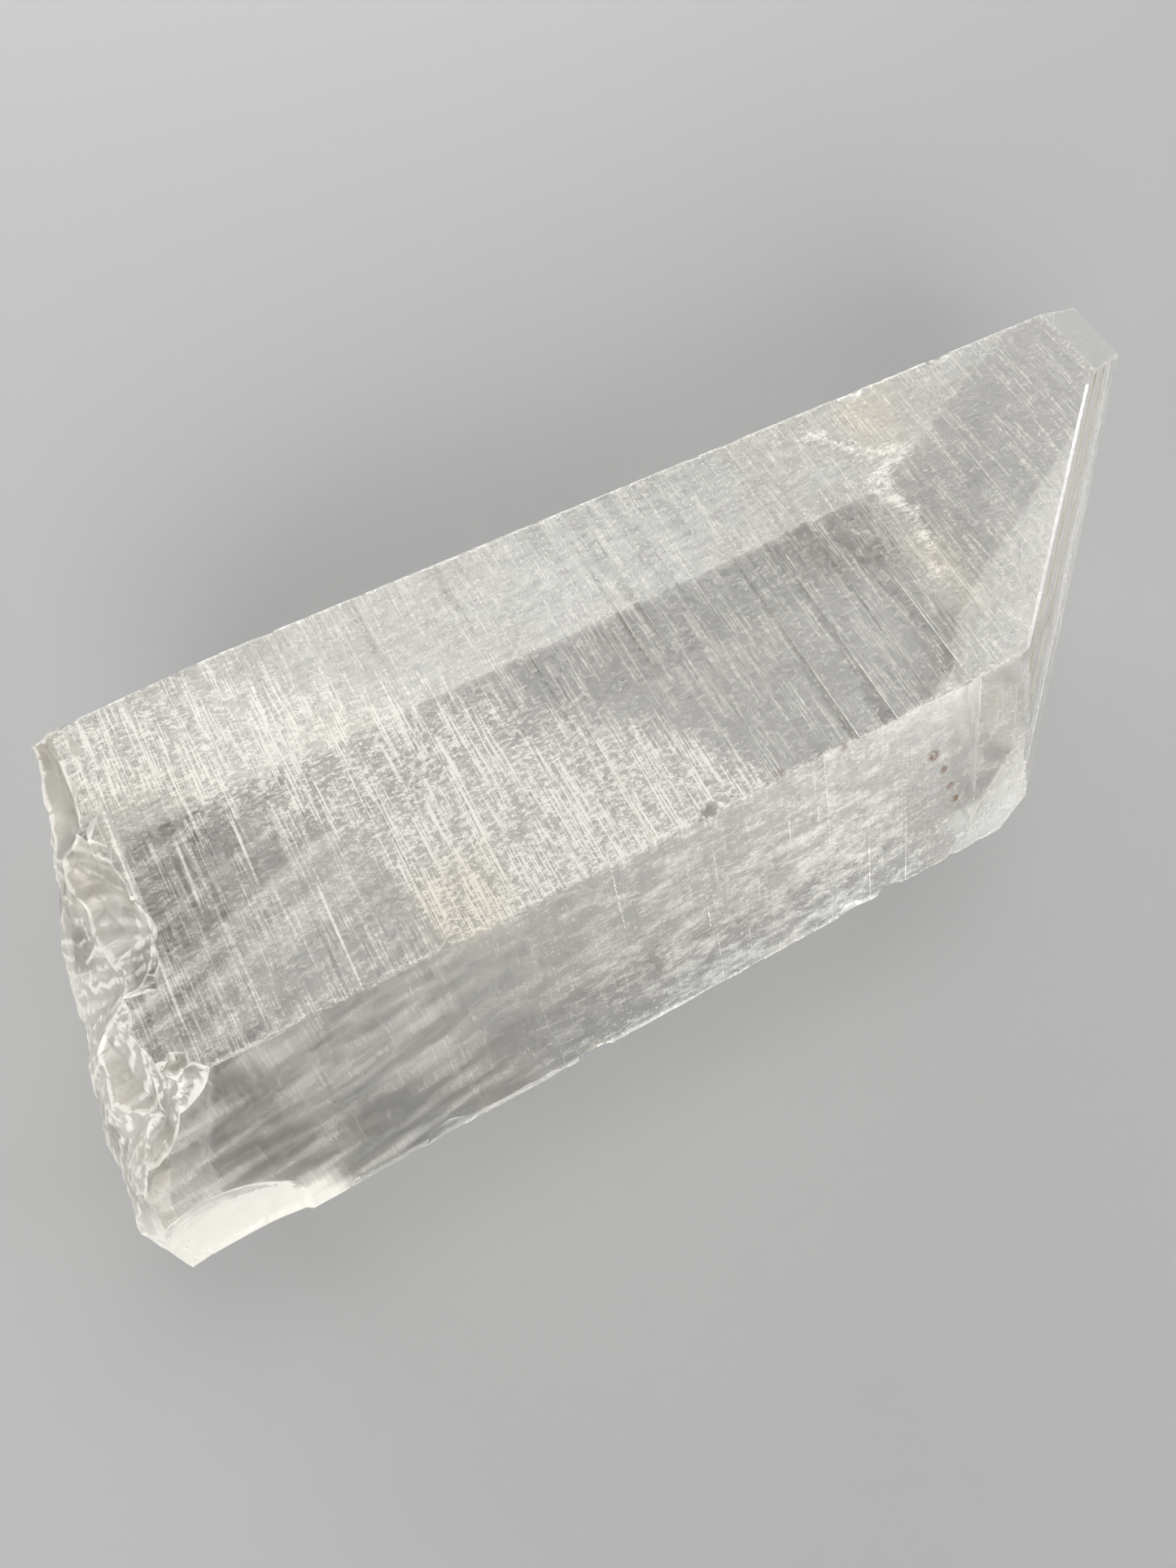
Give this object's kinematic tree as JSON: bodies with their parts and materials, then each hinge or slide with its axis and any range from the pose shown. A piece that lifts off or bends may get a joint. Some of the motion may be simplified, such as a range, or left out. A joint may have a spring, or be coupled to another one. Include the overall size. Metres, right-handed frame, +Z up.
{
  "type": "quartz crystal point",
  "caption": "Clear quartz crystal point lying on a broad prism face, with sloping end faces at one end and a shell-like break at the other.",
  "frame": {"origin": "middle of the bottom of the bounding box, on the flat prism face that the crystal lies on", "axes": "+X along the long (c) axis towards the point, +Y across the broad faces to the far long edge, +Z up through the thickness"},
  "size_m": [0.1118, 0.043, 0.0306],
  "materials": {
    "clear_quartz": "clear and colourless with a faint warm tint, flat faces softly polished by growth and frosted by fine striations, edges and break white"
  },
  "bodies": {
    "root": {"quartz_point": "clear_quartz"}
  },
  "joints": []
}
